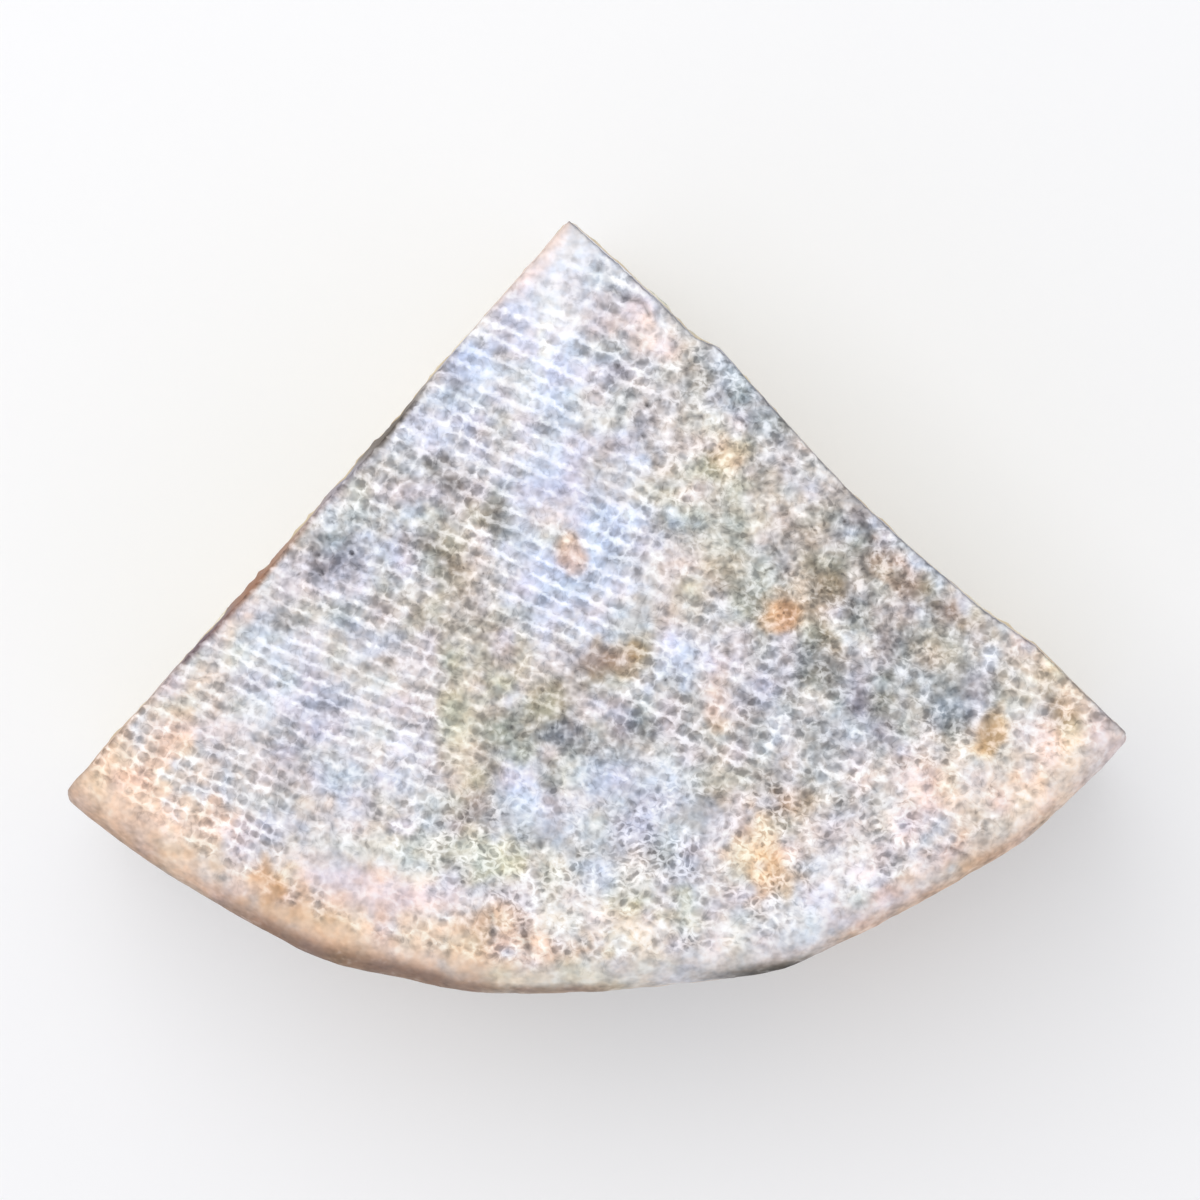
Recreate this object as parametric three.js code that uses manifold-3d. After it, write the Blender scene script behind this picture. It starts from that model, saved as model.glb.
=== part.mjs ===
// A quarter of a blue cheese wheel with its natural rind, lying flat with one rind face up.
// Millimetres, +Z up. The cut tip points to +Y, the round rind wall faces -Y, and the flat
// underside lies on Z = 0. The origin is under the middle of the outline.

import * as THREE from 'three';
import Module from 'manifold-3d';
import { mergeVertices } from 'three/addons/utils/BufferGeometryUtils.js';

const wasm = await Module();
wasm.setup();

// The wheel that the quarter was cut from.
const WHEEL_RADIUS = 138.9;
const THICKNESS = 90;
const WALL_BELLY = 1.2;
const TOP_SINK = 1.4; // how far the rind face sinks towards the middle of the wheel

// The two cuts run from the tip, which lies a little short of the wheel's middle.
// Headings are in degrees, counter-clockwise from +X.
const TIP = new THREE.Vector2(-5.19, 74.28);
const TIP_TO_WHEEL_CENTRE = new THREE.Vector2(-0.5, -7.7);
const LEFT_CUT_HEADING = -131.3;
const RIGHT_CUT_HEADING = -43.0;

// Rounded shoulder between the wall and the faces, wider on the left than on the right.
const SHOULDER_LEFT = 10;
const SHOULDER_RIGHT = 6;

// Swellings of the rind wall: heading from the wheel's middle, height outwards and half width.
const RIND_SWELLINGS = [
  { heading: -133, out: 0.3, width: 4 },
  { heading: -110, out: 1.7, width: 5.5 },
  { heading: -97, out: 0.9, width: 6 },
  { heading: -73, out: 1.5, width: 5 },
  { heading: -51, out: 1.2, width: 5 },
  { heading: -42, out: 0.9, width: 4 },
];

// The right cut wandered: how far its face stands out at each distance from the tip.
const RIGHT_CUT_PATH = [
  { along: 0, out: 0 },
  { along: 24, out: 0.4 },
  { along: 33, out: 0 },
  { along: 37, out: 1.6 },
  { along: 56, out: 0 },
  { along: 74, out: -1.4 },
  { along: 88, out: -1.4 },
  { along: 107, out: -0.6 },
  { along: 120, out: 1.3 },
  { along: 144, out: 0.8 },
];

// Stretches of the left cut where the top edge has crumbled back from the face.
const LEFT_EDGE_LOSSES = [
  { along: 55, width: 13, back: 1.2 },
  { along: 91, width: 17, back: 1.2 },
];
const EDGE_LOSS_DEPTH = 6; // how far down the cut face a crumbled edge reaches
const CUT_MARGIN = 22; // crags and waves of a cut face grow to full depth over this much

// Soft waves in the rind face and in the wall: height, wavelength, heading and phase.
const FACE_WAVES = [
  { height: 0.5, length: 64, heading: 20, phase: 0.4 },
  { height: 0.35, length: 41, heading: 105, phase: 2.0 },
  { height: 0.25, length: 27, heading: 160, phase: 4.1 },
];
const WALL_WAVES = [
  { height: 0.45, length: 58, heading: 12, phase: 1.0 },
  { height: 0.35, length: 33, heading: 70, phase: 3.2 },
];
const CUT_WAVES = [
  { height: 0.35, length: 47, heading: 35, phase: 0.9 },
  { height: 0.25, length: 23, heading: 120, phase: 2.6 },
];

// Crags where the paste broke away from the cuts: place on the face, half width and depth.
const LEFT_CRAGS = [
  { along: 32, up: 58, width: 7, depth: 1.6 },
  { along: 52, up: 30, width: 9, depth: 2.0 },
  { along: 76, up: 60, width: 8, depth: 2.2 },
  { along: 98, up: 34, width: 10, depth: 2.4 },
  { along: 119, up: 62, width: 7, depth: 1.5 },
];
const RIGHT_CRAGS = [
  { along: 28, up: 36, width: 8, depth: 1.7 },
  { along: 57, up: 62, width: 9, depth: 2.3 },
  { along: 71, up: 27, width: 8, depth: 2.0 },
  { along: 96, up: 55, width: 10, depth: 2.6 },
  { along: 120, up: 31, width: 8, depth: 1.8 },
];

// The mesh: how many steps it takes from the tip to the rind, around it and up it.
const STEPS_OUT = 30;
const STEPS_AROUND = 42;
const STEPS_UP = 16;
const BASE_ALLOWANCE = 1; // modelled below the underside, then cut away flat

// How quickly a change in the wall or in a cut face dies away inside the wedge, as powers.
const WALL_FADE = 8;
const CUT_FADE = 12;
const FACE_RELIEF_START = 0.6; // the share of the height where the rind face's relief begins

const radians = THREE.MathUtils.degToRad;

function wave(x, y, waves) {
  let sum = 0;
  for (const { height, length, heading, phase } of waves) {
    const along = x * Math.cos(radians(heading)) + y * Math.sin(radians(heading));
    sum += height * Math.sin((2 * Math.PI * along) / length + phase);
  }
  return sum;
}

// A smooth hump, 1 in its middle and almost 0 at twice its half width.
function hump(distance, width) {
  return Math.exp(-((distance / width) ** 2));
}

// The height of a path of straight stretches at a distance along it.
function heightOnPath(path, along) {
  const next = path.findIndex((point) => point.along > along);
  if (next < 1) {
    return next === 0 ? path[0].out : path[path.length - 1].out;
  }
  const from = path[next - 1];
  const to = path[next];
  const share = (along - from.along) / (to.along - from.along);
  return THREE.MathUtils.lerp(from.out, to.out, share);
}

// The distance from the tip to the rind wall in one direction.
function reachToRind(direction) {
  const along = TIP_TO_WHEEL_CENTRE.dot(direction);
  const acrossSquared = TIP_TO_WHEEL_CENTRE.lengthSq() - along ** 2;
  const reach = along + Math.sqrt(WHEEL_RADIUS ** 2 - acrossSquared);
  const rind = direction.clone().multiplyScalar(reach).sub(TIP_TO_WHEEL_CENTRE);
  const heading = THREE.MathUtils.radToDeg(rind.angle()) - 360;
  let swelling = 0;
  for (const { heading: middle, out, width } of RIND_SWELLINGS) {
    swelling += out * hump(heading - middle, width);
  }
  return reach + swelling;
}

// How much a rounded corner shortens the line from a square's middle towards (x, z).
function cornerRatio(x, z, halfSize, radius) {
  const reach = Math.max(Math.abs(x), Math.abs(z));
  if (reach === 0) {
    return 1;
  }
  const onSquare = new THREE.Vector2(Math.abs(x), Math.abs(z)).multiplyScalar(halfSize / reach);
  const flat = halfSize - radius;
  if (onSquare.x <= flat || onSquare.y <= flat) {
    return 1;
  }
  const corner = new THREE.Vector2(flat, flat);
  const along = onSquare.dot(corner);
  const beyond = corner.lengthSq() - radius ** 2;
  return (along + Math.sqrt(along ** 2 - onSquare.lengthSq() * beyond)) / onSquare.lengthSq();
}

// How deep the crags of a cut face are at one place on it.
function cragDepth(crags, along, up) {
  let depth = 0;
  for (const crag of crags) {
    depth += crag.depth * hump(Math.hypot(along - crag.along, up - crag.up), crag.width);
  }
  return depth;
}

// How much of its relief a cut face has at one place: none at the top edge and at the tip.
function cutOpenness(along, up) {
  const fromTop = THREE.MathUtils.smoothstep(THICKNESS - up, 0, CUT_MARGIN);
  const fromTip = THREE.MathUtils.smoothstep(along, 0, CUT_MARGIN);
  return fromTop * fromTip;
}

function leftCutInset(along, up) {
  const nearTop = Math.max(0, 1 - (THICKNESS - up) / EDGE_LOSS_DEPTH);
  let loss = 0;
  for (const { along: middle, width, back } of LEFT_EDGE_LOSSES) {
    loss += back * hump(along - middle, width);
  }
  const relief = cragDepth(LEFT_CRAGS, along, up) + wave(along, up, CUT_WAVES);
  return loss * nearTop + relief * cutOpenness(along, up);
}

function rightCutInset(along, up) {
  const relief = cragDepth(RIGHT_CRAGS, along, up) + wave(up, along, CUT_WAVES);
  return relief * cutOpenness(along, up) - heightOnPath(RIGHT_CUT_PATH, along);
}

// The direction across a cut, towards the inside of the wedge.
function inwardFrom(cutHeading, quarterTurn) {
  const angle = radians(cutHeading + quarterTurn);
  return new THREE.Vector2(Math.cos(angle), Math.sin(angle));
}

const LEFT_INWARD = inwardFrom(LEFT_CUT_HEADING, 90);
const RIGHT_INWARD = inwardFrom(RIGHT_CUT_HEADING, -90);

// One point of the wedge: out from the tip, around from the left cut to the right and up,
// each as a share from 0 to 1.
function wedgePoint(out, around, up) {
  const heading = radians(THREE.MathUtils.lerp(LEFT_CUT_HEADING, RIGHT_CUT_HEADING, around));
  const direction = new THREE.Vector2(Math.cos(heading), Math.sin(heading));
  const reach = reachToRind(direction);
  const height = THICKNESS + BASE_ALLOWANCE;
  const half = height / 2;

  // The section from tip to rind is a rectangle whose two corners at the rind are rounded.
  const shoulder = THREE.MathUtils.lerp(SHOULDER_LEFT, SHOULDER_RIGHT, around);
  const fromMiddle = new THREE.Vector2(Math.max(0, out * reach - (reach - half)), (up - 0.5) * height);
  fromMiddle.multiplyScalar(cornerRatio(fromMiddle.x, fromMiddle.y, half, shoulder));
  let along = Math.min(out * reach, reach - half) + fromMiddle.x;
  let z = half + fromMiddle.y - BASE_ALLOWANCE;

  // The wall bellies out and waves. The rind face sinks a little and waves.
  const bulge = WALL_BELLY + wave(heading * WHEEL_RADIUS, z, WALL_WAVES);
  along += bulge * Math.sin(Math.PI * up) * out ** WALL_FADE;
  const plan = direction.clone().multiplyScalar(along);
  const fromCentre = plan.distanceTo(TIP_TO_WHEEL_CENTRE) / WHEEL_RADIUS;
  const faceRelief = wave(plan.x, plan.y, FACE_WAVES) - TOP_SINK * (1 - fromCentre ** 2);
  z += faceRelief * THREE.MathUtils.smoothstep(up, FACE_RELIEF_START, 1);

  // The cut faces move straight in or out, and the rind face beside them follows.
  plan.addScaledVector(LEFT_INWARD, leftCutInset(along, z) * (1 - around) ** CUT_FADE);
  plan.addScaledVector(RIGHT_INWARD, rightCutInset(along, z) * around ** CUT_FADE);
  plan.add(TIP);
  return new THREE.Vector3(plan.x, plan.y, z);
}

// A box whose points are moved onto the wedge. The box's tip side closes into one upright edge.
function wedgeGeometry() {
  const geometry = new THREE.BoxGeometry(1, 1, 1, STEPS_OUT, STEPS_AROUND, STEPS_UP);
  const position = geometry.getAttribute('position');
  for (let i = 0; i < position.count; i += 1) {
    const point = wedgePoint(position.getX(i) + 0.5, position.getY(i) + 0.5, position.getZ(i) + 0.5);
    position.setXYZ(i, point.x, point.y, point.z);
  }
  return geometry;
}

// The closed solid of a geometry, with its shared points merged and its empty triangles left out.
function toSolid(geometry) {
  geometry.deleteAttribute('normal');
  geometry.deleteAttribute('uv');
  const merged = mergeVertices(geometry);
  const corners = merged.index.array;
  const kept = [];
  for (let i = 0; i < corners.length; i += 3) {
    const [a, b, c] = corners.slice(i, i + 3);
    if (a !== b && b !== c && c !== a) {
      kept.push(a, b, c);
    }
  }
  const vertProperties = merged.getAttribute('position').array;
  const mesh = new wasm.Mesh({ numProp: 3, vertProperties, triVerts: new Uint32Array(kept) });
  return new wasm.Manifold(mesh);
}

// Everything below Z = 0, to plane the underside flat.
function belowUnderside() {
  const side = 4 * WHEEL_RADIUS;
  const depth = 20 * BASE_ALLOWANCE;
  const slab = new THREE.BoxGeometry(side, side, depth);
  slab.translate(0, 0, -depth / 2);
  return toSolid(slab);
}

function cheeseWedge() {
  const solid = toSolid(wedgeGeometry()).subtract(belowUnderside());
  const mesh = solid.getMesh();
  const geometry = new THREE.BufferGeometry();
  geometry.setAttribute('position', new THREE.BufferAttribute(mesh.vertProperties, 3));
  geometry.setIndex(new THREE.BufferAttribute(mesh.triVerts, 1));
  geometry.computeVertexNormals();
  const material = new THREE.MeshStandardMaterial({ color: 0xd1cbcb, roughness: 0.85, metalness: 0 });
  const wedge = new THREE.Mesh(geometry, material);
  wedge.name = 'cheese_wedge';
  return wedge;
}

const cheese = new THREE.Group();
cheese.add(cheeseWedge());

export default cheese;
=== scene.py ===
"""A quarter of a blue cheese wheel with its natural rind, lying flat and seen from straight above.

The form repeats the solid's named sizes in millimetres. One fine closed mesh carries it, with the
drain net's print, pinholes and cracks of the rind and the crags and cavities of the two cuts as
real relief. Attributes on its points hold the mould's stains for the two materials, together with
painted shade along the rim's outline, the cuts' edges and in the holes and cracks, and a painted
shadow under the rim.
"""
import functools
import itertools
import math

import bpy
import numpy as np
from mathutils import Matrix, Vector
from mathutils.geometry import delaunay_2d_cdt


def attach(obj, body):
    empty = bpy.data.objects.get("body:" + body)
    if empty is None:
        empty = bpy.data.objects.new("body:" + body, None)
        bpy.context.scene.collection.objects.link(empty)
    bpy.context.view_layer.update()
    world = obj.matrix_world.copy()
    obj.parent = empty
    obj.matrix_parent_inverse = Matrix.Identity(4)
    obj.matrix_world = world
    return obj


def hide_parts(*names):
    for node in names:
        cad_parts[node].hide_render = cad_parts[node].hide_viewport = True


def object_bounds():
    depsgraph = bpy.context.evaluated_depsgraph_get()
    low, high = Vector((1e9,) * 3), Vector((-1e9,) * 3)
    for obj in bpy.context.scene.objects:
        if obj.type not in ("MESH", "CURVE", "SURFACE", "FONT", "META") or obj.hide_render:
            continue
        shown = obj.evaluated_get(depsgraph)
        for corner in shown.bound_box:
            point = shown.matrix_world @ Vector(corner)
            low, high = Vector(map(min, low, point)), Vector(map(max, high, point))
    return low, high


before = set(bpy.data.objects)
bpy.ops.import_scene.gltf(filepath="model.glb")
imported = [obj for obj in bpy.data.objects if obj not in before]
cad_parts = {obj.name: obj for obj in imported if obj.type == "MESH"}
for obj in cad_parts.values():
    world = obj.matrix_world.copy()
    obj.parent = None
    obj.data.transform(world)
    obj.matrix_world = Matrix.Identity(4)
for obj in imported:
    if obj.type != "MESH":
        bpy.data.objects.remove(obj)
cad_box = [list(corner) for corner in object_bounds()]

MM = 0.001
NODE = "cheese_wedge"

# ---- the form, as in the solid
WHEEL_RADIUS = 138.9
THICKNESS = 90.0
BASE_ALLOWANCE = 1.0
WALL_BELLY = 1.2
TOP_SINK = 1.4
TIP_X = -5.19
TIP = np.array([TIP_X, cad_box[1][1] / MM])
TIP_TO_WHEEL_CENTRE = np.array([-0.5, -7.7])
LEFT_CUT_HEADING = -131.3
RIGHT_CUT_HEADING = -43.0
SHOULDER_LEFT = 10.0
SHOULDER_RIGHT = 6.0

# Swellings of the rind wall: heading from the wheel's middle, height outwards, half width.
RIND_SWELLINGS = [
    (-133, 0.3, 4), (-110, 1.7, 5.5), (-97, 0.9, 6), (-73, 1.5, 5), (-51, 1.2, 5), (-42, 0.9, 4),
]
# How far the right cut stands out at each distance from the tip.
RIGHT_CUT_ALONG = [0, 24, 33, 37, 56, 74, 88, 107, 120, 144]
RIGHT_CUT_OUT = [0, 0.4, 0, 1.6, 0, -1.4, -1.4, -0.6, 1.3, 0.8]
# Where the left cut's top edge has crumbled back: distance from the tip, half width, depth.
LEFT_EDGE_LOSSES = [(55, 13, 1.2), (91, 17, 1.2)]
EDGE_LOSS_DEPTH = 6.0
CUT_MARGIN = 22.0

# Soft waves: height, wavelength, heading, phase.
FACE_WAVES = [(0.5, 64, 20, 0.4), (0.35, 41, 105, 2.0), (0.25, 27, 160, 4.1)]
WALL_WAVES = [(0.45, 58, 12, 1.0), (0.35, 33, 70, 3.2)]
CUT_WAVES = [(0.35, 47, 35, 0.9), (0.25, 23, 120, 2.6)]
# Large crags of the cut faces: distance from the tip, height, half width, depth.
LEFT_CRAGS = [(32, 58, 7, 1.6), (52, 30, 9, 2.0), (76, 60, 8, 2.2), (98, 34, 10, 2.4), (119, 62, 7, 1.5)]
RIGHT_CRAGS = [(28, 36, 8, 1.7), (57, 62, 9, 2.3), (71, 27, 8, 2.0), (96, 55, 10, 2.6), (120, 31, 8, 1.8)]
WALL_FADE = 8
CUT_FADE = 12
FACE_RELIEF_START = 0.6

WEDGE_DEGREES = RIGHT_CUT_HEADING - LEFT_CUT_HEADING
WEDGE_TURN = math.radians(WEDGE_DEGREES)
RIM_LENGTH = WEDGE_TURN * WHEEL_RADIUS

# ---- the fine mesh
FACE, WALL, LEFT, RIGHT, UNDER = range(5)  # its sheets
FACE_STEP = 0.6
WALL_STEP = 1.1
CUT_STEP = 1.15
BASE_STEP = 3.0
SPLIT_TILT = 60.0  # the rind face's sheet ends where the shoulder has turned this far
WALL_LENGTHS = (4.0, THICKNESS - 2 * SHOULDER_LEFT, 12.0)  # upper shoulder, wall and lower shoulder
MERGE_DISTANCE = 1e-7
WELD_DECIMALS = 4


def smoothstep(value, low, high):
    share = np.clip((value - low) / (high - low), 0, 1)
    return share * share * (3 - 2 * share)


def hump(distance, width):
    """1 in the middle and almost 0 at twice the half width."""
    return np.exp(-((distance / width) ** 2))


def heading_vector(heading):
    angle = np.radians(heading)
    return np.stack([np.cos(angle), np.sin(angle)], axis=-1)


def heading_of(vector):
    """The heading of flat vectors, in degrees counter-clockwise from +X."""
    return np.degrees(np.arctan2(vector[..., 1], vector[..., 0]))


def wave(x, y, waves):
    total = 0
    for height, length, heading, phase in waves:
        east, north = heading_vector(heading)
        total = total + height * np.sin(2 * np.pi * (x * east + y * north) / length + phase)
    return total


def reach_to_rind(heading):
    """The distance from the tip to the rind wall in each direction."""
    direction = heading_vector(heading)
    along = direction @ TIP_TO_WHEEL_CENTRE
    across_squared = TIP_TO_WHEEL_CENTRE @ TIP_TO_WHEEL_CENTRE - along ** 2
    reach = along + np.sqrt(WHEEL_RADIUS ** 2 - across_squared)
    rind_heading = heading_of(direction * reach[..., None] - TIP_TO_WHEEL_CENTRE)
    return reach + sum(out * hump(rind_heading - middle, width) for middle, out, width in RIND_SWELLINGS)


def crag_depth(crags, along, up):
    return sum(depth * hump(np.hypot(along - x, up - z), width) for x, z, width, depth in crags)


def cut_openness(along, up):
    return smoothstep(THICKNESS - up, 0, CUT_MARGIN) * smoothstep(along, 0, CUT_MARGIN)


def left_edge_loss(along):
    return sum(back * hump(along - middle, width) for middle, width, back in LEFT_EDGE_LOSSES)


def left_cut_inset(along, up):
    near_top = np.clip(1 - (THICKNESS - up) / EDGE_LOSS_DEPTH, 0, None)
    relief = crag_depth(LEFT_CRAGS, along, up) + wave(along, up, CUT_WAVES)
    return left_edge_loss(along) * near_top + relief * cut_openness(along, up)


def right_cut_inset(along, up):
    relief = crag_depth(RIGHT_CRAGS, along, up) + wave(up, along, CUT_WAVES)
    return relief * cut_openness(along, up) - np.interp(along, RIGHT_CUT_ALONG, RIGHT_CUT_OUT)


def heading_at(around):
    return LEFT_CUT_HEADING + WEDGE_DEGREES * around


def shoulder_radius(around):
    return SHOULDER_LEFT + (SHOULDER_RIGHT - SHOULDER_LEFT) * around


def form(ideal):
    """The uneven wedge's points in mm, from the ideal one's distance out, share around and height."""
    along, around, z = ideal.T
    heading = heading_at(around)
    reach = reach_to_rind(heading)
    up = (z + BASE_ALLOWANCE) / (THICKNESS + BASE_ALLOWANCE)
    bulge = WALL_BELLY + wave(np.radians(heading) * WHEEL_RADIUS, z, WALL_WAVES)
    along = along + bulge * np.sin(np.pi * np.clip(up, 0, 1)) * (along / reach) ** WALL_FADE
    plan = heading_vector(heading) * along[:, None]
    from_centre = np.linalg.norm(plan - TIP_TO_WHEEL_CENTRE, axis=1) / WHEEL_RADIUS
    face_relief = wave(plan[:, 0], plan[:, 1], FACE_WAVES) - TOP_SINK * (1 - from_centre ** 2)
    z = z + face_relief * smoothstep(up, FACE_RELIEF_START, 1)
    left = left_cut_inset(along, z) * (1 - around) ** CUT_FADE
    right = right_cut_inset(along, z) * around ** CUT_FADE
    plan = plan + heading_vector(LEFT_CUT_HEADING + 90) * left[:, None]
    plan = plan + heading_vector(RIGHT_CUT_HEADING - 90) * right[:, None]
    return np.column_stack([plan + TIP, z])


# ---- sheets of the fine mesh
def ideal_points(along, around, z):
    along, around, z = np.broadcast_arrays(along, around, z)
    return np.column_stack([along, around, z]).astype(float)


def face_height(along, around):
    """The ideal rind face's height, which drops over the shoulder."""
    radius = shoulder_radius(around)
    into = np.clip((along - reach_to_rind(heading_at(around)) + radius) / radius, 0, 1)
    return THICKNESS - radius * (1 - np.sqrt(1 - into ** 2))


def wall_profile(around, station):
    """Ideal points of the wall: station 0 is the split on the upper shoulder, 1 its end, 2 the
    start of the lower shoulder and 3 the underside."""
    around, station = np.broadcast_arrays(np.asarray(around, float), np.asarray(station, float))
    radius = shoulder_radius(around)
    reach = reach_to_rind(heading_at(around))
    upper = np.radians(SPLIT_TILT + (90 - SPLIT_TILT) * np.clip(station, 0, 1))
    lower = np.arcsin((radius - BASE_ALLOWANCE) / radius) * np.clip(station - 2, 0, 1)
    top_of_wall = THICKNESS - radius * (1 - np.cos(upper))
    foot = radius - BASE_ALLOWANCE
    height = top_of_wall + (foot - top_of_wall) * np.clip(station - 1, 0, 1) - radius * np.sin(lower)
    inset = radius * (1 - np.sin(upper)) + radius * (1 - np.cos(lower))
    return ideal_points(reach - inset, around, height)


def shares(length, step):
    return np.linspace(0, 1, int(round(length / step)) + 1)


def lattice(low, high, step):
    """Points of a triangular lattice over a rectangle."""
    rows = np.arange(low[1], high[1], step * math.sqrt(3) / 2)
    columns = np.arange(low[0], high[0], step)
    x, y = np.meshgrid(columns, rows)
    x = x + (np.arange(len(rows)) % 2)[:, None] * step / 2
    return np.column_stack([x.ravel(), y.ravel()])


def triangulate(outline, inner):
    """Triangles of a flat outline with points inside it, counted outline first."""
    flat = [Vector(point) for point in np.vstack([outline, inner])]
    count = len(outline)
    edges = [(i, (i + 1) % count) for i in range(count)]
    points, _, faces, origins, _, _ = delaunay_2d_cdt(flat, edges, [], 1, MERGE_DISTANCE)
    if len(points) != len(flat):
        raise ValueError("two points of a sheet fell together")
    first = np.array([origin[0] for origin in origins])
    return first[np.array(faces)]


def sheet_edges():
    """The shared edges of the sheets, as ideal points from the tip outwards or left to right."""
    edges = {
        "split": wall_profile(shares(RIM_LENGTH, FACE_STEP), 0),
        "foot": wall_profile(shares(RIM_LENGTH, WALL_STEP), 3),
        "tip": ideal_points(0, 0, THICKNESS * (1 - shares(THICKNESS, CUT_STEP))),
    }
    upper, wall, lower = (shares(length, WALL_STEP) for length in WALL_LENGTHS)
    stations = np.concatenate([upper[:-1], 1 + wall[:-1], 2 + lower])
    for side, around in (("left", 0.0), ("right", 1.0)):
        top_end = wall_profile(around, 0)[0, 0]
        along = top_end * shares(top_end, FACE_STEP)
        edges[side + "_top"] = ideal_points(along, around, face_height(along, np.full_like(along, around)))
        base_end = wall_profile(around, 3)[0, 0]
        edges[side + "_base"] = ideal_points(base_end * shares(base_end, CUT_STEP), around, 0)
        edges[side + "_wall"] = wall_profile(around, stations)
    return edges


def ring(*pieces):
    """One closed loop of edges, where each one's last point is the next one's first."""
    return np.vstack([piece[:-1] for piece in pieces])


def plan_of(ideal):
    return heading_vector(heading_at(ideal[:, 1])) * ideal[:, :1]


def polar_of(plan):
    return np.hypot(plan[:, 0], plan[:, 1]), (heading_of(plan) - LEFT_CUT_HEADING) / WEDGE_DEGREES


def sector_lattice(step, inset):
    """The sector's lattice points clear of its edges, as ideal distance and share around."""
    low, high = (-WHEEL_RADIUS, -1.1 * WHEEL_RADIUS), (WHEEL_RADIUS, 0)
    margin = step / 2
    along, around = polar_of(lattice(low, high, step))
    inside = (around > 0) & (around < 1)
    along, around = along[inside], around[inside]
    from_cuts = along * np.minimum(np.sin(around * WEDGE_TURN), np.sin((1 - around) * WEDGE_TURN))
    from_rind = reach_to_rind(heading_at(around)) - inset(around) - along
    clear = (from_cuts > margin) & (from_rind > margin)
    return along[clear], around[clear]


def split_inset(around):
    return shoulder_radius(around) * (1 - math.sin(math.radians(SPLIT_TILT)))


def rind_face_sheet(edges):
    loop = ring(edges["left_top"], edges["split"], edges["right_top"][::-1])
    along, around = sector_lattice(FACE_STEP, split_inset)
    inner = ideal_points(along, around, face_height(along, around))
    return np.vstack([loop, inner]), triangulate(plan_of(loop), plan_of(inner))


def underside_sheet(edges):
    loop = ring(edges["left_base"], edges["foot"], edges["right_base"][::-1])
    inner = ideal_points(*sector_lattice(BASE_STEP, shoulder_radius), 0)
    return np.vstack([loop, inner]), triangulate(plan_of(loop), plan_of(inner))[:, ::-1]


def wall_sheet(edges):
    """The wall, triangulated on its unrolled form: the share around and the length down."""
    ends = np.cumsum([0, *WALL_LENGTHS])
    margin = WALL_STEP / 2
    around, down = lattice((0, 0), (RIM_LENGTH, ends[-1]), WALL_STEP).T
    clear = (around > margin) & (around < RIM_LENGTH - margin)
    clear &= (down > margin) & (down < ends[-1] - margin)
    around, down = around[clear] / RIM_LENGTH, down[clear]
    inner = wall_profile(around, np.interp(down, ends, range(4)))
    left, foot, right, split = (edges[name] for name in ("left_wall", "foot", "right_wall", "split"))

    def unrolled(around, down):
        return np.column_stack(np.broadcast_arrays(around * RIM_LENGTH, -down))

    def length_down(side):
        length = np.cumsum(np.linalg.norm(np.diff(side[:, [0, 2]], axis=0), axis=1))
        return np.append(0, length) / length[-1] * ends[-1]

    outline = ring(
        unrolled(0.0, length_down(left)),
        unrolled(foot[:, 1], ends[-1]),
        unrolled(1.0, length_down(right))[::-1],
        unrolled(split[:, 1], 0.0)[::-1],
    )
    loop = ring(left, foot, right[::-1], split[::-1])
    return np.vstack([loop, inner]), triangulate(outline, unrolled(around, down))


def cut_sheet(edges, side, around):
    radius = shoulder_radius(around)
    reach = reach_to_rind(np.array([heading_at(around)]))[0]
    tip = edges["tip"].copy()
    tip[:, 1] = around
    loop = ring(tip, edges[side + "_base"], edges[side + "_wall"][::-1], edges[side + "_top"][::-1])
    along, up = lattice((0, 0), (reach, THICKNESS), CUT_STEP).T
    margin = CUT_STEP / 2
    clear = (along > margin) & (along < reach - margin) & (up > margin) & (up < THICKNESS - margin)
    over = np.maximum(up - (THICKNESS - radius), (radius - BASE_ALLOWANCE) - up)
    corner = (along > reach - radius) & (over > 0)
    clear &= ~corner | (np.hypot(along - (reach - radius), over) < radius - margin)
    inner = ideal_points(along[clear], around, up[clear])
    triangles = triangulate(loop[:, [0, 2]], inner[:, [0, 2]])
    if side == "right":
        triangles = triangles[:, ::-1]
    return np.vstack([loop, inner]), triangles


def welded_sheets():
    """All sheets as one closed mesh: ideal points, places in mm, triangles and each triangle's sheet."""
    edges = sheet_edges()
    sheets = [
        rind_face_sheet(edges),
        wall_sheet(edges),
        cut_sheet(edges, "left", 0.0),
        cut_sheet(edges, "right", 1.0),
        underside_sheet(edges),
    ]
    ideal = np.vstack([points for points, _ in sheets])
    places = form(ideal)
    starts = np.cumsum([0] + [len(points) for points, _ in sheets])
    triangles = np.vstack([faces + start for (_, faces), start in zip(sheets, starts)])
    sheet_of = np.concatenate([np.full(len(faces), n) for n, (_, faces) in enumerate(sheets)])
    _, first, welded = np.unique(
        np.round(places, WELD_DECIMALS), axis=0, return_index=True, return_inverse=True)
    return ideal[first], places[first], welded.reshape(-1)[triangles], sheet_of


# ---- repeatable noise
HASH_PRIMES = (73856093, 19349663, 83492791)
HASH_MIXERS = (np.uint64(2246822519), np.uint64(3266489917))
LOW_BITS = np.uint64(0xFFFFFFFF)
TURNED = np.array([(0.36, 0.48, -0.8), (-0.8, 0.6, 0), (0.48, 0.64, 0.6)])  # a turn off all axes


def random_at(cells, seed):
    """A repeatable random number from -1 to 1 for every whole-numbered cell."""
    cells = cells.astype(np.uint64)
    mixed = np.full(cells.shape[:-1], seed * 7919 + 17, np.uint64)
    for axis in range(cells.shape[-1]):
        mixed = mixed ^ (cells[..., axis] * np.uint64(HASH_PRIMES[axis]))
        mixed = ((mixed ^ (mixed >> np.uint64(15))) * HASH_MIXERS[0]) & LOW_BITS
    mixed = ((mixed ^ (mixed >> np.uint64(13))) * HASH_MIXERS[1]) & LOW_BITS
    return (mixed ^ (mixed >> np.uint64(16))) / 2.0 ** 31 - 1


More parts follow.
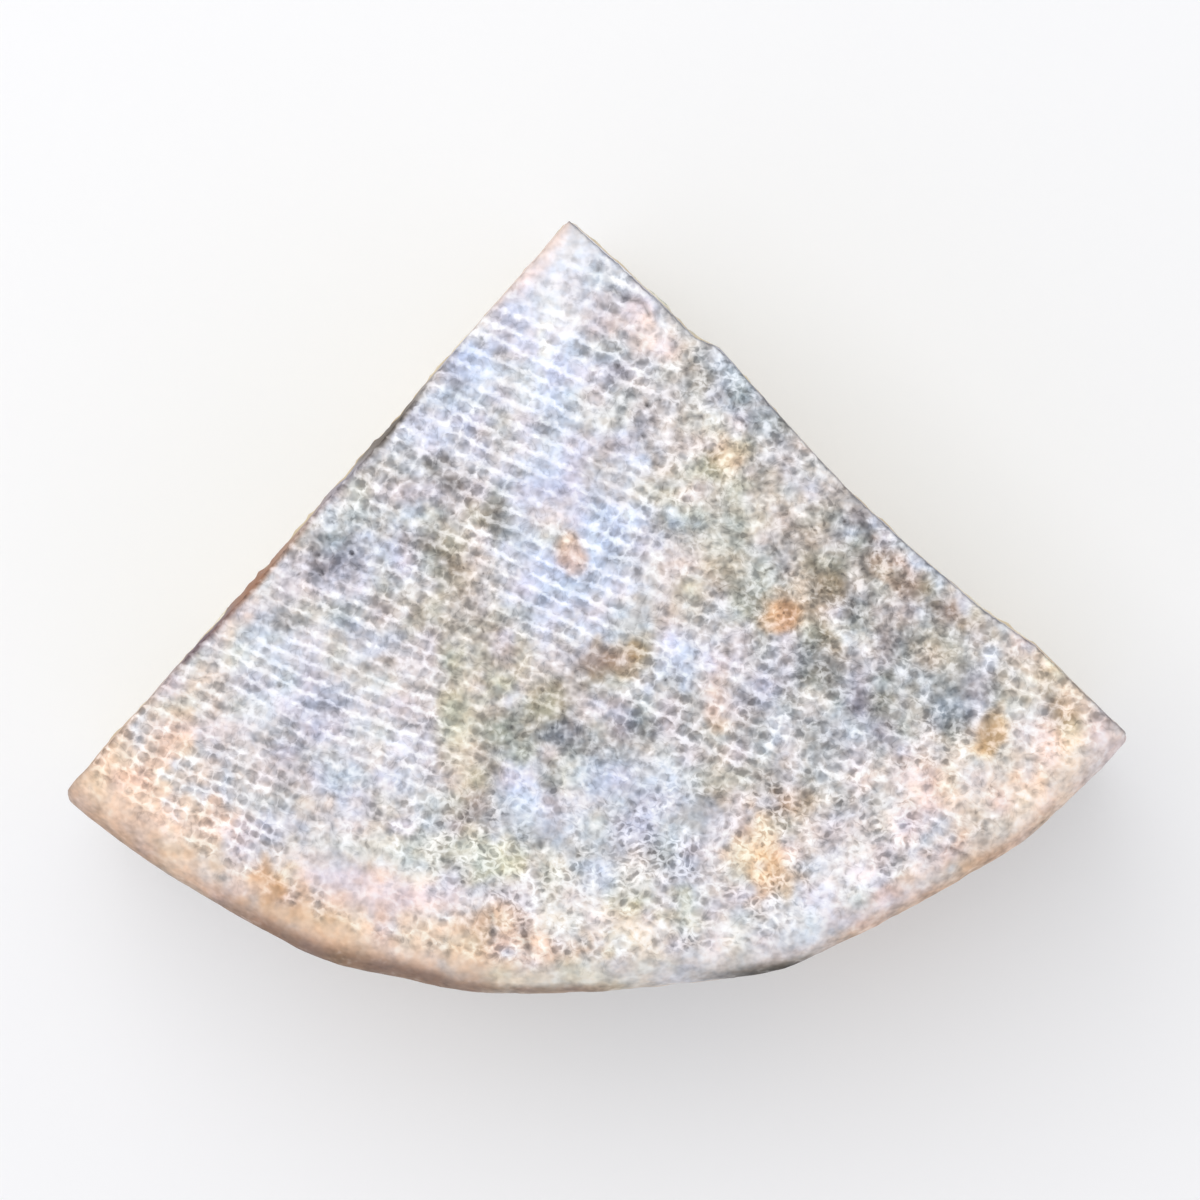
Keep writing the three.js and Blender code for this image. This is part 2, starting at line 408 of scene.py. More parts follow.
def noise(points, lump, seed):
    """Smooth noise of about -1 to 1, with lumps about as wide as `lump` in mm."""
    spot = points / lump + 500
    cell = np.floor(spot)
    part = smoothstep(spot - cell, 0, 1)
    total = 0
    for corner in itertools.product((0, 1), repeat=points.shape[1]):
        share = np.prod(np.where(corner, part, 1 - part), axis=1)
        total = total + share * random_at(cell + corner, seed)
    return 1.5 * total


def layered(points, layers):
    """Noise in layers, each with its height or colour, its lumps' width in mm and its seed."""
    return sum(np.multiply.outer(noise(points, lump, seed), height) for height, lump, seed in layers)


def clouds(points, lump, seed):
    """Noise that is bent out of its lattice's straight lines, with smaller lumps in it."""
    bend = np.column_stack([noise(points, 0.8 * lump, seed + axis) for axis in range(1, 4)])
    bent = points @ TURNED + 0.4 * lump * bend
    return layered(bent, [(0.7, lump, seed), (0.4, 0.4 * lump, seed + 4)])


# ---- stains and zones of the rind
# Colours of the rind as they look in soft light.
SNOW = (241, 242, 250)
LILAC = (222, 225, 242)
ICE = (212, 221, 240)
PALE = (226, 224, 231)
MIST = (200, 200, 213)
PEBBLE = (190, 189, 192)
STONE = (189, 184, 179)
SLATE = (168, 172, 181)
STEEL = (144, 147, 156)
SHADE = (138, 133, 131)
MOSS = (160, 156, 147)
OLIVE = (190, 186, 173)
STRAW = (216, 209, 188)
TAN = (209, 199, 189)
BROWN = (164, 143, 121)
ORANGE = (218, 180, 146)
APRICOT = (238, 206, 178)
PEACH = (240, 215, 197)
BLUSH = (236, 219, 211)
ROSE = (243, 224, 221)
CREAM = (231, 224, 212)
RUST = (214, 178, 154)
# painted shade of the rim's outline
UMBER_SHADE = (150, 126, 112)

# Each blotch: x and y in mm, half length, half width, heading of its length, colour, strength.
BLOTCHES = [
    # the wide zones
    (30, 16, 34, 19, -48, TAN, 0.7), (25, 10, 16, 13, -60, OLIVE, 0.5), (52, 4, 26, 12, -38, STONE, 0.65),
    (0, -42, 42, 15, -4, PEBBLE, 0.4), (-28, 2, 30, 9, -62, OLIVE, 0.75),
    (-22, -22, 12, 8, -70, OLIVE, 0.6), (12, -22, 30, 12, -20, TAN, 0.4),
    (-10, 34, 40, 14, -77, LILAC, 1.0), (-7, 40, 13, 8, -77, SNOW, 0.45), (-6, 5, 15, 10, -25, LILAC, 1.0),
    (-25, 42, 12, 7, 45, LILAC, 0.8), (-45, 12, 16, 8, 40, LILAC, 0.95), (-56, -12, 27, 15, -25, PALE, 0.9),
    # by the tip
    (-6, 63, 15, 11, 0, SNOW, 0.65), (-13, 66, 9, 2.5, 48, ROSE, 0.6), (-18, 55, 5, 4, 0, ROSE, 0.35),
    (7, 54, 7, 4.5, -40, ROSE, 0.8), (9, 53, 3, 3, 0, PEACH, 0.6), (3, 58.5, 2.2, 1.6, -30, SHADE, 0.4),
    (4, 43, 7, 3.5, -60, SLATE, 0.5), (4, 46, 4, 2.5, -60, STEEL, 0.35), (5, 41, 4, 4, 0, STEEL, 0.5),
    (-16, 56, 5, 4, 0, MIST, 0.4), (25, 41, 4, 4, 0, PALE, 0.4), (10, 40, 5, 4, -60, SLATE, 0.6),
    (19, 43, 3, 3, 0, MOSS, 0.6), (33, 36, 12, 4, -47, SLATE, 0.6), (15, 32, 5, 4, 0, TAN, 0.4),
    (5, 25, 5, 5, 0, ICE, 0.8), (14, 41, 5, 4, 0, MIST, 0.6), (25, 26, 6, 5, 0, OLIVE, 0.7),
    (25, 29, 3, 3, 0, ORANGE, 0.4), (30.5, 27, 2, 2.6, 0, SHADE, 0.5), (-27, 43, 8, 2.5, -70, MIST, 0.7),
    (-33, 30, 6, 4, 45, SNOW, 0.5), (-18, 34, 5, 5, 0, MIST, 0.4), (-5, 25, 5, 4, 0, MIST, 0.5),
    (5, 9, 5, 4, 0, MIST, 0.5), (6, -2, 6, 6, 0, ICE, 0.6), (-11, 17, 8, 4, 0, CREAM, 0.35),
    (15, 9, 5, 4, 0, MIST, 0.45), (-25, 1, 5, 4, 0, LILAC, 0.4), (-5, 11, 2.6, 3, 0, RUST, 0.75),
    # the left side
    (-28, 24.5, 5.5, 4, -30, SHADE, 0.9), (-20, 19, 6.5, 4, -40, MOSS, 0.9),
    (-20, 19, 3, 3, -40, SHADE, 0.4), (-42, 21, 9, 5, 45, TAN, 0.6), (-50, 10, 5.5, 3.5, 0, STEEL, 0.75),
    (-31, 11, 5, 3.5, -60, MOSS, 0.95), (-25, 2, 10, 3, -62, MOSS, 0.3), (-24, 10, 6, 3.5, -62, MOSS, 0.4),
    (-34, -1, 5, 2.5, -70, MOSS, 0.45), (-48, -2, 4.5, 2, -60, SLATE, 0.6),
    (-60, -2, 6, 3.5, 10, SLATE, 0.7), (-40, -9, 3, 2, 0, TAN, 0.7), (-58, -24, 5, 4, -20, STEEL, 0.4),
    (-52, -19, 5, 3, 30, SLATE, 0.4), (-52, -31, 7, 4, -70, MIST, 0.6), (-39, -24, 11, 4, -75, LILAC, 0.9),
    (-62, -9, 7, 5, 0, SNOW, 0.5), (-65, -9, 6, 4, 0, CREAM, 0.7), (-45, -6, 6, 4, 0, LILAC, 0.9),
    (-75, -22, 5, 4, 0, PALE, 0.5), (-34, 6, 4, 5, 0, LILAC, 0.5), (-75, -12, 5, 4, 0, BLUSH, 0.5),
    (-80, -13, 5, 2.5, 45, MIST, 0.8), (-66, -1, 6, 2, 48, PEACH, 0.6),
    # the middle and below it
    (-28, -18, 9, 4, -75, STRAW, 0.45), (-28, -14, 5, 2.5, -75, MOSS, 0.2), (-25, -30, 6, 4, -70, TAN, 0.5),
    (-15, -20, 5, 3.5, 20, MOSS, 0.55), (-8, -17, 4, 3, -50, MOSS, 0.7), (-5, -24, 5, 2.8, -10, STEEL, 1.0),
    (8, -22, 4.5, 2.4, -10, STEEL, 0.75), (3, -27, 4.5, 3, 0, SHADE, 0.5),
    (3, -10, 6.5, 4.2, 15, BROWN, 0.75), (8, -7.5, 3, 2, 20, BROWN, 0.7), (0, -19, 4, 2, 0, SNOW, 0.5),
    (-13, -35, 4.5, 4, -60, ICE, 0.9), (-14, -36, 5, 4, -60, SNOW, 0.5),
    (-9.5, -31, 3.5, 1.8, -60, STEEL, 0.6), (-9, -42, 5, 3, -20, STEEL, 0.5),
    (-22, -38, 5, 3.2, 10, SHADE, 0.5), (-18, -47, 7, 4, 0, STRAW, 0.95), (-28, -45, 7, 4, 0, CREAM, 0.6),
    (1, -30, 5, 5, 0, ICE, 0.4), (20, -24, 9, 5, 0, STONE, 0.6), (24, -31, 14, 4, 0, STONE, 0.45),
    (25, -18, 5, 5, 0, MOSS, 0.25), (11, -33, 6, 4.5, 0, PALE, 0.9), (1, -42, 6, 4, -60, SLATE, 0.5),
    (0, -42, 9, 6, 0, ICE, 0.4), (5, -35, 5, 4, 0, PALE, 0.6), (0, -50, 4, 4, 0, ICE, 0.9),
    (20.5, -39, 4.2, 3.4, 0, STEEL, 0.3), (6, -38, 3, 2.5, 0, SLATE, 0.3), (15, -47, 6, 4, -20, SLATE, 0.4),
    (-25, -47, 5, 4, 0, OLIVE, 0.9), (-15, -40, 5, 3, 0, SNOW, 0.4),
    # the lower right
    (23, -18, 7, 3, 90, BLUSH, 0.7), (22, -20, 4, 2, 90, RUST, 0.5), (25, -7, 5, 4, 0, LILAC, 0.6),
    (25, 9, 5, 4, 0, CREAM, 0.6), (25, 1, 5, 4, 0, MOSS, 0.5), (35, -8, 5, 4, 0, STONE, 0.8),
    (40, -27, 9, 5, -40, TAN, 0.55), (15, -9, 6, 5, 0, LILAC, 0.7), (29, -42, 5, 4.5, 90, APRICOT, 0.7),
    (35, -54, 6, 5, 90, APRICOT, 0.8), (36, -55, 6, 4, 0, PEACH, 0.3), (32, -50, 4, 2, 80, ORANGE, 0.4),
    (25, -36, 5, 3, -60, TAN, 0.7), (38, -35, 5, 3, 30, BROWN, 0.65), (41, -44, 4, 3, 30, RUST, 0.4),
    (46, -42, 7, 5, 20, LILAC, 0.4), (51, -41, 7, 4, 30, BLUSH, 0.5), (50, -49, 10, 4, 25, PALE, 0.6),
    (57, -54, 8, 3, 28, PEACH, 0.6), (38, -57, 8, 4, 10, PALE, 0.6), (44, -54, 9, 4, 22, SNOW, 0.3),
    (47, -30, 5, 4, 0, MIST, 0.6), (56, -31, 7, 5, 0, BLUSH, 0.7), (65, -36, 8, 4.5, 20, ROSE, 0.7),
    (74, -33, 12, 7, 28, BLUSH, 0.9), (84, -27, 12, 8, -30, BLUSH, 0.8), (92, -20, 7, 5, -45, PEACH, 0.7),
    (75, -38, 12, 5, 24, PEACH, 0.7), (50, -47, 8, 3, 20, BLUSH, 0.5), (71, -44, 8, 2.4, 30, RUST, 0.9),
    (63, -47, 5, 2.5, 30, ROSE, 0.7), (54, -54, 5, 1.8, 28, RUST, 0.5), (82, -36, 7, 3, 35, PEACH, 0.7),
    (85, -14, 5, 1.8, -75, SHADE, 0.6), (80, -12, 4, 3, -60, TAN, 0.7), (89, -13, 6, 2, -45, STRAW, 0.5),
    (88, -18, 4, 3, -45, TAN, 0.6), (88, -18, 3, 2, -45, BROWN, 0.4),
    # the right side
    (41, 4, 5, 3, -60, RUST, 0.4), (44, 5, 9, 6, -60, TAN, 0.6), (50, 0, 7, 4.5, -45, MOSS, 0.7),
    (60, -3, 14, 4, -40, TAN, 0.6), (60, 5, 5, 3, -40, TAN, 0.6), (60, 5, 4, 2, -40, PEACH, 0.3),
    (65, -5, 9, 5, -40, STONE, 0.7), (76, -14, 7, 4.5, -40, MOSS, 0.6), (77, -7, 7, 2.5, -43, PEACH, 0.5),
    (55, -20, 6, 6, 0, MOSS, 0.5), (55, -7, 5, 3, 0, TAN, 0.5), (64, -17, 4, 3, 0, TAN, 0.4),
    (46, 4, 6, 3.2, -60, SHADE, 0.75), (45, 4, 4, 2, -60, BROWN, 0.5),
    (34.5, -0.5, 3.8, 3, 80, ORANGE, 1.0), (52, 12, 7, 3.5, -45, SHADE, 0.7),
    (50, 13, 5, 3, -45, MOSS, 0.4), (57, 8, 8, 2.8, -38, RUST, 0.7), (80, -8, 10, 3, -43, PEACH, 0.6),
    (70, -3, 14, 4.5, -40, TAN, 0.8), (65, 1, 8, 2.8, -38, BROWN, 0.7), (45, -7, 4, 2.4, -50, BROWN, 0.5),
    (43, -12, 6, 4, -60, SHADE, 0.75), (52, -18, 7, 5, -60, SHADE, 0.45), (45, -25, 6, 4, -70, SHADE, 0.5),
    (38, -16, 5, 3, -75, STEEL, 0.5), (50, -27, 6, 4, 0, STONE, 0.5), (59, -10, 7, 4, -40, SHADE, 0.3),
    (70, -15, 7, 3.8, -30, SHADE, 0.6), (61, -20, 6, 4, -20, STONE, 0.6), (69, -19, 5, 3, 20, STEEL, 0.85),
    (75, -22, 4.5, 2.6, 70, ORANGE, 0.9), (74, -21, 3.5, 2, 70, BROWN, 0.75),
    (37, 12, 7, 2, -78, SHADE, 0.15), (30, -20, 6, 2, -80, SHADE, 0.3), (22, 8, 8, 2, -75, MOSS, 0.15),
    (20, 0, 4, 3, -75, SHADE, 0.4), (30, -8, 6, 4, -30, STONE, 0.6),
    # the peach rim
    (-90, -33, 14, 10, -45, PEACH, 1.0), (-87, -31, 9, 7, -45, APRICOT, 0.9),
    (-95, -35, 7, 5, -40, APRICOT, 0.8), (-84, -33, 4, 3, -60, ORANGE, 0.35),
    (-79, -34, 5, 4, -90, ORANGE, 0.3), (-70, -48, 8, 4.5, -36, ROSE, 0.9),
    (-76, -41, 17, 7, -38, PEACH, 0.95), (-71, -37, 4, 3, 0, ORANGE, 0.3), (-83, -24, 7, 5, 45, BLUSH, 0.7),
    (-60, -49, 16, 6, -32, BLUSH, 0.6), (-88, -33, 9, 6, -45, APRICOT, 0.5),
    (-42, -53, 16, 5.5, -15, ROSE, 0.95), (-46, -42, 16, 6, -12, CREAM, 0.7),
    (-53, -38, 6, 4, 0, PEACH, 0.4), (-51, -49, 6, 3, -20, MIST, 0.5), (-65, -47, 6, 4, -36, PALE, 0.9),
    (-85, -39, 6, 5, -40, APRICOT, 0.5), (-75, -31, 6, 4, 0, PEACH, 0.6),
    (-52, -60, 18, 5, -30, ORANGE, 1.0), (-28, -62, 16, 4.5, -8, APRICOT, 0.6),
    (-20, -58, 5, 3, 0, ORANGE, 0.5), (-41, -50, 3, 2, 0, RUST, 0.4), (-8, -62, 10, 4.5, 0, PEACH, 0.9),
    (-20, -66, 11, 2.6, -4, RUST, 0.6), (2, -58, 8, 4, 0, CREAM, 0.8), (14, -60, 12, 6, 2, CREAM, 0.9),
    (15, -55, 8, 4, 0, STRAW, 0.8), (-5, -57, 6, 5, 0, PALE, 0.8), (24, -63, 8, 4, 5, PALE, 0.7),
]
BASE_COLOUR = (213, 210, 214)
STAIN_CONTRAST = 1.08  # how far the stains are drawn away from the base colour
ELLIPSE_EDGE = (0.35, 1.5)  # an ellipse fades out between these shares of its half widths
RIM_STAIN_AND_SHADE_ENDS = (0.5, 1.3)
RIM_STAIN_AND_SHADE_EDGE = (0.3, 1.5)

# Stains along the rim, and painted shade in the narrow rust and umber bands at its outline, where the
# shoulder turns away from the light: heading from the wheel's middle, half width in degrees, depth from
# the outline in mm, colour, strength, raggedness.
RIM_STAINS_AND_SHADE = [
    (-118, 20, 9, PEACH, 0.6, 1), (-99, 8, 7, PEACH, 0.8, 1), (-87, 8, 6, CREAM, 0.9, 1),
    (-66, 14, 5, PALE, 0.7, 1), (-48, 10, 6, BLUSH, 0.9, 1), (-117, 19, 3.8, RUST, 0.6, 0.2),
    (-107, 11, 3, UMBER_SHADE, 0.9, 0.2), (-120, 16, 1.2, UMBER_SHADE, 0.4, 0.2), (-93, 9, 1.6, UMBER_SHADE, 0.7, 0.25),
    (-60, 12, 2.2, RUST, 0.7, 0.3),
]

# Mottles of the wall: width of a lump in mm, seed, how rare they are, colour, strength.
WALL_COLOUR = (222, 210, 198)
WALL_MOTTLES = [
    (40, 51, -0.3, PEACH, 0.6), (30, 53, 0.0, PALE, 0.8), (24, 55, 0.1, PEBBLE, 0.6),
    (18, 57, 0.1, TAN, 0.6), (14, 59, 0.3, OLIVE, 0.5), (11, 61, 0.35, RUST, 0.4),
    (9, 63, 0.3, SNOW, 0.6), (6, 65, 0.5, SHADE, 0.4),
]
MOTTLE_EDGE = 0.8
# The dark patch at the wall's upper edge is a painted shadow under the rim, which shows as a dark crescent
# from above.
NOTCH_HEADING = -73.7
NOTCH_HALF_WIDTH = 14.0
NOTCH_HEIGHT = 83.0
NOTCH_HALF_HEIGHT = 3.6
NOTCH_SHADOW_COLOUR = (88, 83, 78)
NOTCH_RAGGED = 0.45
NOTCH_EDGE = (1.5, 0.3)

# Zones, as blotches without a colour: where rows of the net show most, where its cells are loose,
# where dark specks show and where the rind is smooth.
ROW_ZONES = [(-7, 31, 40, 14, -77, 1), (-4, 4, 15, 10, -25, 1), (-54, -9, 30, 16, -25, 0.8)]
LOOSE_ZONES = [(45, 10, 55, 30, -42, 1), (10, -45, 60, 18, 0, 1)]
SPECKLED_ZONES = [
    (44, 10, 34, 17, -42, 1), (-50, 11, 10, 8, -40, 1), (-27, 17, 16, 8, -60, 0.9),
    (-26, -4, 16, 8, -55, 0.7), (22, 33, 20, 9, -50, 0.8), (-8, -20, 12, 8, 0, 0.8),
    (-45, -34, 12, 5, -30, 0.6), (62, -8, 18, 8, -30, 0.7),
]
SMOOTH_ZONES = [
    (34.5, -0.5, 3.6, 3, 80, 0.15), (20.5, -39, 4.5, 3.4, 0, 0.5), (-9, -42, 6, 3, -30, 0.6),
    (1, -44, 6, 4, -60, 0.5), (-95, -37, 10, 4, -40, 0.6), (-78, -50, 22, 5, -36, 0.8),
    (-56, -61, 22, 5, -27, 1), (-30, -69, 26, 4, -8, 1), (78, -45, 26, 3.5, 30, 0.15),
    (10, -70, 26, 3.5, 2, 0.6), (50, -56, 18, 3, 22, 0.2), (-5, 70, 7, 7, 0, 0.7),
    (69, -15, 7, 4.5, -30, 0.4), (74, -22, 3, 4.5, 75, 0.3), (-6, 63, 16, 12, 0, 0.3),
    (-42, -53, 16, 6, -15, 0.5),
]

# Noises in layers: height or colour, width of a lump in mm, seed.
BLOTCH_EDGES = [(0.26, 8, 41), (0.34, 2.4, 42)]
RIM_STAIN_AND_SHADE_EDGES = [(0.35, 9, 43), (0.2, 3, 44)]
CAVITY_EDGES = [(0.55, 2.2, 31), (0.3, 1.2, 32)]
DRIFT_ACROSS = [(0.36, 10, 1), (0.13, 3.2, 2)]
DRIFT_DOWN = [(0.28, 10, 3), (0.13, 3.2, 4)]
OFF_LATTICE = (1, 1, 0.999)  # keeps a face at a round height off the planes of the noise's own lattice
RIND_GRIT = [(0.11, 1.3, 6), (0.16, 4, 7)]
RIND_LUMPS = [(0.2, 12, 8)]
PASTE_GRAIN = [(0.28, 2.6, 9), (0.16, 1.2, 10), (0.3, 6, 11)]
STAIN_LUMPS = [(0.04, 5, 13), (0.05, 2.6, 17)]
STREAKS = [(0.06, 2.2, 18)]
TINTS = [((6, 1, -7), 8, 14), ((2, 0, -2), 2.4, 15), ((-1.5, 2, -1.5), 4.5, 20)]
EDGE_DRIFT = [(2, 5, 16)]


def cover(plan, ragged, x, y, half_length, half_width, heading):
    """How far each point is inside a ragged ellipse, from 0 to 1."""
    away = plan - (x, y)
    along = away @ heading_vector(heading) / half_length
    across = away @ heading_vector(heading + 90) / half_width
    return 1 - smoothstep(np.hypot(along, across) + ragged, *ELLIPSE_EDGE)


def zone(plan, ragged, ellipses):
    return np.max([strength * cover(plan, ragged, *ellipse) for *ellipse, strength in ellipses], axis=0)


def plain(colour, count):
    return np.tile(np.array(colour, float), (count, 1))


def paint(colour, share, over):
    return colour + share[:, None] * (np.asarray(over) - colour)


def wheel_heading(plan):
    return heading_of(plan - TIP - TIP_TO_WHEEL_CENTRE)


def rim_distance(plan):
    """How far each place is inside the wheel's outline."""
    away = plan - TIP
    return reach_to_rind(heading_of(away)) - np.hypot(away[:, 0], away[:, 1])


def stain_and_shade_at(plan, ragged):
    """The rind's colour, from 0 to 255, at each place seen from above, with painted shade in the dark bands
    along the rim's outline.
    """
    colour = plain(BASE_COLOUR, len(plan))
    for *ellipse, blotch, strength in BLOTCHES:
        colour = paint(colour, strength * cover(plan, ragged, *ellipse), blotch)
    rim_ragged = layered(plan, RIM_STAIN_AND_SHADE_EDGES)
    from_rim, headings = rim_distance(plan), wheel_heading(plan)
    for heading, half_width, depth, blotch, strength, roughness in RIM_STAINS_AND_SHADE:
        bend = roughness * rim_ragged
        off = np.abs(headings - heading) / half_width + bend
        share = strength * (1 - smoothstep(off, *RIM_STAIN_AND_SHADE_ENDS))
        colour = paint(colour, share * (1 - smoothstep(from_rim / depth + bend, *RIM_STAIN_AND_SHADE_EDGE)), blotch)
    return BASE_COLOUR + STAIN_CONTRAST * (colour - BASE_COLOUR)


def wall_stain_and_shadow(places, heading):
    """The rind wall's colour, which is mottled as the rim is, with one painted shadow by its upper edge."""
    colour = plain(WALL_COLOUR, len(places))
    for lump, seed, threshold, blotch, strength in WALL_MOTTLES:
        share = smoothstep(clouds(places, lump, seed), threshold, threshold + MOTTLE_EDGE)
        colour = paint(colour, strength * share, blotch)
    across = np.radians(heading - NOTCH_HEADING) * WHEEL_RADIUS / NOTCH_HALF_WIDTH
    away = np.hypot(across, (places[:, 2] - NOTCH_HEIGHT) / NOTCH_HALF_HEIGHT)
    away = away + NOTCH_RAGGED * clouds(places, 9, 71)
    return paint(colour, smoothstep(away, *NOTCH_EDGE), NOTCH_SHADOW_COLOUR)


# ---- the drain net's print
ROW_HEADING = -114.5
ROW_PITCH = 3.39
ROW_PHASE = -0.274
ROW_SHRINK_LENGTH = 434  # the rows close up towards the rim, by this distance's logarithm
COLUMN_HEADING = -29
COLUMN_PITCH = 3.3
COLUMN_MIDDLE = 20
COLUMN_SHRINK_LENGTH = 480
RIDGE_POWER = 2.4  # 2 makes round cells and more makes square ones
RIDGE_START = 0.5  # this and the next three count from a cell's middle at 0 to its side at 1
RIDGE_END = 0.95
RING_PLACE = 0.72  # how far out the loose cells' rings lie
RING_WIDTH = 0.42
CELL_SPREAD = 0.5  # how much the cells differ in tone from each other
PRINT_DEPTH = 0.34
PRINT_MIDDLE = 0.45  # the height of the print that keeps to the solid's face
WALL_PRINT = 0.5  # how strong the print is on the wall, against 1 on the face
SMOOTH_LOSS = 0.92  # how much of its strength it loses in a smooth zone, and next in a speckled one
SPECKLED_LOSS = 0.4


def net_on_face(plan):
    """Which column and which row of the net's print each place lies in."""
    down = np.clip((plan - TIP) @ heading_vector(ROW_HEADING), -20, 190)
    row = -ROW_SHRINK_LENGTH / ROW_PITCH * np.log(1 - down / ROW_SHRINK_LENGTH) + ROW_PHASE
    across = (plan - TIP) @ heading_vector(COLUMN_HEADING)
    column = (across - COLUMN_MIDDLE) / (COLUMN_PITCH * (1 - down / COLUMN_SHRINK_LENGTH))
    return np.column_stack([column, row])


def ridge(net, column_weight):
    """The height of the net's print, 0 in a cell and 1 on the ridges between cells."""
    across, down = np.abs(2 * (net - np.floor(net)) - 1).T
    from_middle = (column_weight * across ** RIDGE_POWER + down ** RIDGE_POWER) ** (1 / RIDGE_POWER)
    return smoothstep(from_middle, RIDGE_START, RIDGE_END)


def net_print(ideal, places, rows, loose, speckled, smooth):
    """Each point's column and row of the net, and how strong its print is there."""
    along, around, z = ideal.T
    radius = shoulder_radius(around)
    over_edge = reach_to_rind(heading_at(around)) - radius - along
    on_wall = over_edge < -0.5 * radius
    unrolled = np.column_stack([np.radians(heading_at(around)) * WHEEL_RADIUS, z])
    net = np.where(on_wall[:, None], unrolled / COLUMN_PITCH + 500, net_on_face(places[:, :2]))
    looseness = 0.7 + 0.6 * loose - 0.2 * rows
    flow = places * OFF_LATTICE
    net[:, 0] += looseness * layered(flow, DRIFT_ACROSS)
    net[:, 1] += looseness * layered(flow, DRIFT_DOWN)
    # none on the turn of the shoulder, which is narrower on the right
    strength = smoothstep(np.abs(over_edge + 0.5 * radius), 0.3, 5 - 2.2 * around)
    strength *= np.where(on_wall, WALL_PRINT * smoothstep(z, 80, 70), 1 - SMOOTH_LOSS * smooth)
    strength *= (0.85 + 0.3 * noise(flow, 11, 5)) * (1 - SPECKLED_LOSS * speckled) * smoothstep(z, -1, 0)
    return net, np.clip(strength, 0, 1)


# ---- relief
STREAK_HEADING = -75  # the loose cells' stains run this way
STREAK_LENGTH = 3.5  # how much longer they are than wide
PINHOLES = [
    (4, 46.5), (9.6, 39), (11.8, 40.1), (4.3, 36.2), (19.8, 36.7), (8.8, 33.3),
    (-52.8, 10.5), (-52, 7.3), (-46.2, 10.9), (13, -13), (-16, -22), (36, 8), (40, 12), (47, 17),
    (-32, -22), (-60, -14), (33, -5),
]
PINHOLE_RADIUS = 0.55
PINHOLE_DEPTH = 0.8
# The open crack by the tip, the grooves at the rim and the dark gash near the right corner: the
# path, the half width and the depth.
CRACKS = [
    ([(2.8, 61.3), (5.2, 59.2), (9.0, 58.3), (10.0, 56.0)], 0.45, 0.8),
    ([(-19.9, -56.5), (-19.6, -62.0)], 0.5, 0.6),
    ([(-13.9, -59.5), (-12.6, -64.5)], 0.5, 0.6),
    ([(66.5, -44.6), (70.5, -46.5)], 0.5, 0.7),
]
CAVITIES_A_CUT = 120
CAVITY_DEPTH = 1.7
CAVITY_REACH = 8  # no part of a cavity is further than this from its middle
CAVITY_MIDDLES = ((8, 134), (8, 82))  # where they lie: from the tip, and up
EDGE_WEAR_WIDTH = 0.9
EDGE_WEAR_ROUNDS = 3
EDGE_LOSS_SKIN = 3.5  # how far the skin reaches down where the edge has crumbled, for each mm lost
LIGHTNESS = (0.3, 0.59, 0.11)  # how much red, green and blue count
# The skin seen at the cuts' edges, whose dark stretches are painted shade: distance from the tip, half
# width, colour.
EDGE_COLOUR = (186, 178, 172)
LEFT_EDGE_SKIN_AND_SHADE = [
    (8, 18, (232, 212, 204)), (52, 11, (104, 94, 84)), (68, 7, (158, 156, 170)),
    (90, 15, (158, 116, 92)), (106, 6, (112, 98, 110)), (132, 14, (205, 178, 158)),
]
RIGHT_EDGE_SKIN_AND_SHADE = [
    (8, 14, (232, 226, 228)), (40, 20, (128, 122, 130)), (75, 26, (112, 106, 118)),
    (128, 12, (120, 110, 108)),
]


def distance_to_path(plan, path):
    nearest = np.full(len(plan), np.inf)
    for start, end in zip(np.array(path[:-1], float), np.array(path[1:], float)):
        run = end - start
        share = np.clip((plan - start) @ run / (run @ run), 0, 1)
        nearest = np.minimum(nearest, np.linalg.norm(plan - start - share[:, None] * run, axis=1))
    return nearest


def pits_and_cracks(plan):
    """The rind's pinholes from 0 to 1 and its cracks in mm."""
    pits = [hump(np.hypot(*(plan - place).T), PINHOLE_RADIUS) for place in PINHOLES]
    cracks = [depth * hump(distance_to_path(plan, path), width) for path, width, depth in CRACKS]
    return np.max(pits, axis=0), np.max(cracks, axis=0)


def cavities(along, up, side):
    """Irregular openings of a cut face, from 0 to 1."""
    dice = np.random.default_rng(11 + side)
    total = np.zeros(len(along))
    rough = layered(np.column_stack([along, up]), CAVITY_EDGES)
    for _ in range(CAVITIES_A_CUT):
        x, z = (dice.uniform(*span) for span in CAVITY_MIDDLES)
        size, stretch, turn = 0.6 + 2.0 * dice.random() ** 2, dice.uniform(1, 3.2), dice.uniform(0, np.pi)
        dx, dz = along - x, up - z
        near = (np.abs(dx) < CAVITY_REACH) & (np.abs(dz) < CAVITY_REACH)
        u = (dx[near] * np.cos(turn) + dz[near] * np.sin(turn)) / (size * stretch)
        v = (dz[near] * np.cos(turn) - dx[near] * np.sin(turn)) / size
        total[near] = np.maximum(total[near], smoothstep(np.hypot(u, v) + rough[near], 1.5, 0.5))
    return total


def vertex_normals(places, triangles):
    corners = places[triangles]
    face = np.cross(corners[:, 1] - corners[:, 0], corners[:, 2] - corners[:, 0])
    total = np.zeros_like(places)
    for corner in range(3):
        np.add.at(total, triangles[:, corner], face)
    return total / np.linalg.norm(total, axis=1)[:, None]


def soften(places, triangles, share, rounds):
    """Moves each point by its share towards the middle of its neighbours."""
    pairs = np.vstack([triangles[:, [0, 1]], triangles[:, [1, 2]], triangles[:, [2, 0]]])
    count = np.bincount(pairs[:, 0], minlength=len(places))[:, None]
    for _ in range(rounds):
        middle = np.zeros_like(places)
        np.add.at(middle, pairs[:, 0], places[pairs[:, 1]])
        places = places + share[:, None] * (middle / count - places)
    return places


